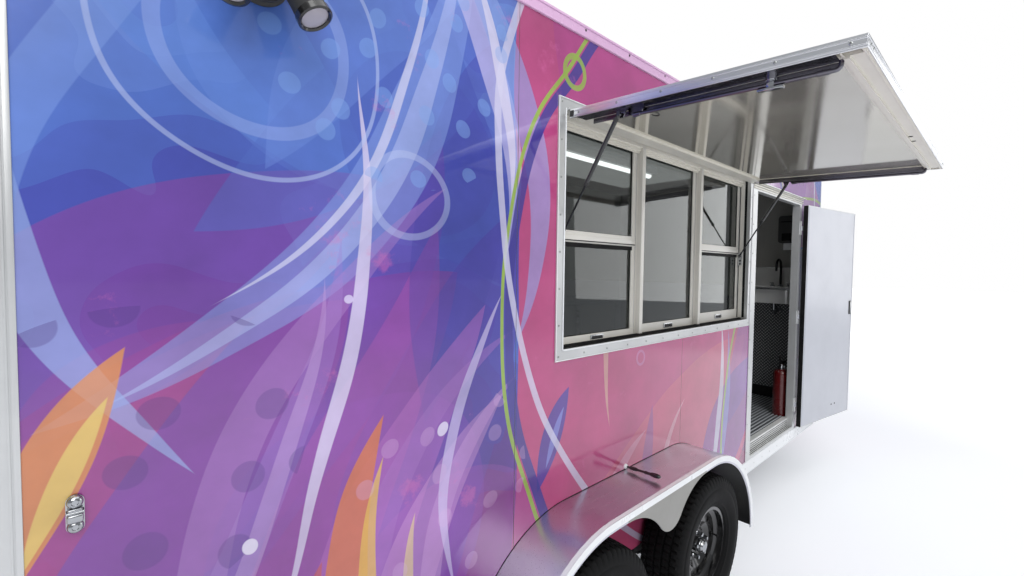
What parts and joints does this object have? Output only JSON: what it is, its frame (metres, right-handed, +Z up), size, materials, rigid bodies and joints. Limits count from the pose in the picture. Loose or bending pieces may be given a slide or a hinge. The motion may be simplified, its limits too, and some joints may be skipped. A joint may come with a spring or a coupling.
{
  "type": "food trailer",
  "caption": "Box-bodied food trailer on tandem axles, with a serving window under a lift-up awning, an open side door, outboard fenders and a tongue jack.",
  "frame": {"origin": "middle of the tongue jack's foot, on the ground", "axes": "+X forward to the coupler, -Y to the serving side, +Z up"},
  "size_m": [6.4533, 3.2873, 2.795],
  "materials": {
    "wrap": "glossy printed film over sheet",
    "body_white": "gloss white sheet",
    "roof_metal": "satin mill sheet",
    "trim": "satin extrusion",
    "top_trim": "film-covered cove extrusion",
    "chassis_black": "semi-gloss black enamel",
    "zinc": "zinc plated steel",
    "tyre": "rubber",
    "wheel_black": "gloss black enamel",
    "fender_bright": "polished sheet",
    "glass": "clear glass",
    "black_plastic": "matt black",
    "stainless": "brushed",
    "door_white": "satin white",
    "lamp_lens": "moulded lens",
    "floor_sheet": "ribbed sheet",
    "red_paint": "gloss red",
    "lamp_white": "diffuser"
  },
  "bodies": {
    "chassis": {"axle_beams": "chassis_black", "bottom_rails": "trim", "ceiling_lamp": "lamp_white", "corner_posts": "trim", "coupler": "zinc", "curb_wall": "wrap", "dispenser": "black_plastic", "door_frame": "trim", "extinguisher": "red_paint", "fender_curb": "fender_bright", "fender_street": "fender_bright", "floor_deck": "floor_sheet", "front_wall": "wrap", "hand_sink": "stainless", "jack_tube": "zinc", "lamps": "lamp_lens", "leaf_springs": "chassis_black", "main_frame": "chassis_black", "rear_frame": "trim", "roof": "roof_metal", "roof_vent": "body_white", "sash_frames": "trim", "spotlights": "black_plastic", "spring_hangers": "chassis_black", "street_wall": "wrap", "tongue_frame": "chassis_black", "top_rails": "top_trim", "wall_fittings": "stainless", "window_frame": "trim", "window_glass": "glass", "work_counter": "stainless"},
    "jack_leg": {"jack_leg": "zinc"},
    "entry_door": {"entry_door": "door_white", "door_latch": "black_plastic"},
    "rear_door_curb": {"rear_door_curb": "wrap", "lock_bar_curb": "zinc"},
    "rear_door_street": {"rear_door_street": "wrap", "lock_bar_street": "zinc"},
    "awning": {"awning_panel": "trim", "awning_rails": "stainless"},
    "strut_tube_rear": {"strut_tube_rear": "black_plastic"},
    "strut_rod_rear": {"strut_rod_rear": "stainless"},
    "strut_tube_front": {"strut_tube_front": "black_plastic"},
    "strut_rod_front": {"strut_rod_front": "stainless"},
    "wheel_curb_front": {"tyre_curb_front": "tyre", "wheel_curb_front": "wheel_black"},
    "wheel_curb_rear": {"tyre_curb_rear": "tyre", "wheel_curb_rear": "wheel_black"},
    "wheel_street_front": {"tyre_street_front": "tyre", "wheel_street_front": "wheel_black"},
    "wheel_street_rear": {"tyre_street_rear": "tyre", "wheel_street_rear": "wheel_black"}
  },
  "joints": [
    {"name": "wheel_curb_front_spin", "type": "hinge", "parent": "chassis", "child": "wheel_curb_front", "pos_m": [-3.678, -1.181, 0.3595], "axis": [0, 1, 0], "continuous": true},
    {"name": "wheel_curb_rear_spin", "type": "hinge", "parent": "chassis", "child": "wheel_curb_rear", "pos_m": [-4.592, -1.181, 0.3595], "axis": [0, 1, 0], "continuous": true},
    {"name": "wheel_street_front_spin", "type": "hinge", "parent": "chassis", "child": "wheel_street_front", "pos_m": [-3.678, 1.181, 0.3595], "axis": [0, 1, 0], "continuous": true},
    {"name": "wheel_street_rear_spin", "type": "hinge", "parent": "chassis", "child": "wheel_street_rear", "pos_m": [-4.592, 1.181, 0.3595], "axis": [0, 1, 0], "continuous": true},
    {"name": "jack_slide", "type": "slide", "parent": "chassis", "child": "jack_leg", "axis": [0, 0, 1], "range_m": [0, 0.3]},
    {"name": "entry_door_hinge", "type": "hinge", "parent": "chassis", "child": "entry_door", "pos_m": [-1.695, -1.079, 0.484], "axis": [0, 0, 1], "range_deg": [-171, 0]},
    {"name": "rear_door_curb_hinge", "type": "hinge", "parent": "chassis", "child": "rear_door_curb", "pos_m": [-6.08, -1.008, 0.543], "axis": [0, 0, 1], "range_deg": [0, 180]},
    {"name": "rear_door_street_hinge", "type": "hinge", "parent": "chassis", "child": "rear_door_street", "pos_m": [-6.08, 1.008, 0.543], "axis": [0, 0, -1], "range_deg": [0, 180]},
    {"name": "awning_hinge", "type": "hinge", "parent": "chassis", "child": "awning", "pos_m": [-3.6715, -1.077, 2.352], "axis": [1, 0, 0], "range_deg": [0, 87.5]},
    {"name": "strut_rod_rear_hinge", "type": "hinge", "parent": "chassis", "child": "strut_rod_rear", "pos_m": [-4.5685, -1.021, 1.847], "axis": [1, 0, 0], "range_deg": [-31.9, 0]},
    {"name": "strut_tube_rear_slide", "type": "slide", "parent": "strut_rod_rear", "child": "strut_tube_rear", "axis": [0, -0.521, 0.8536], "range_m": [-0.2346, 0]},
    {"name": "strut_rod_front_hinge", "type": "hinge", "parent": "chassis", "child": "strut_rod_front", "pos_m": [-2.7745, -1.021, 1.847], "axis": [1, 0, 0], "range_deg": [-31.9, 0]},
    {"name": "strut_tube_front_slide", "type": "slide", "parent": "strut_rod_front", "child": "strut_tube_front", "axis": [0, -0.521, 0.8536], "range_m": [-0.2346, 0]}
  ],
  "couplings": [
    {"joint": "strut_rod_rear_hinge", "follows": "awning_hinge", "ratio": -0.34089},
    {"joint": "strut_tube_rear_slide", "follows": "awning_hinge", "m_per_rad": -0.15329},
    {"joint": "strut_rod_front_hinge", "follows": "awning_hinge", "ratio": -0.34089},
    {"joint": "strut_tube_front_slide", "follows": "awning_hinge", "m_per_rad": -0.15329}
  ]
}
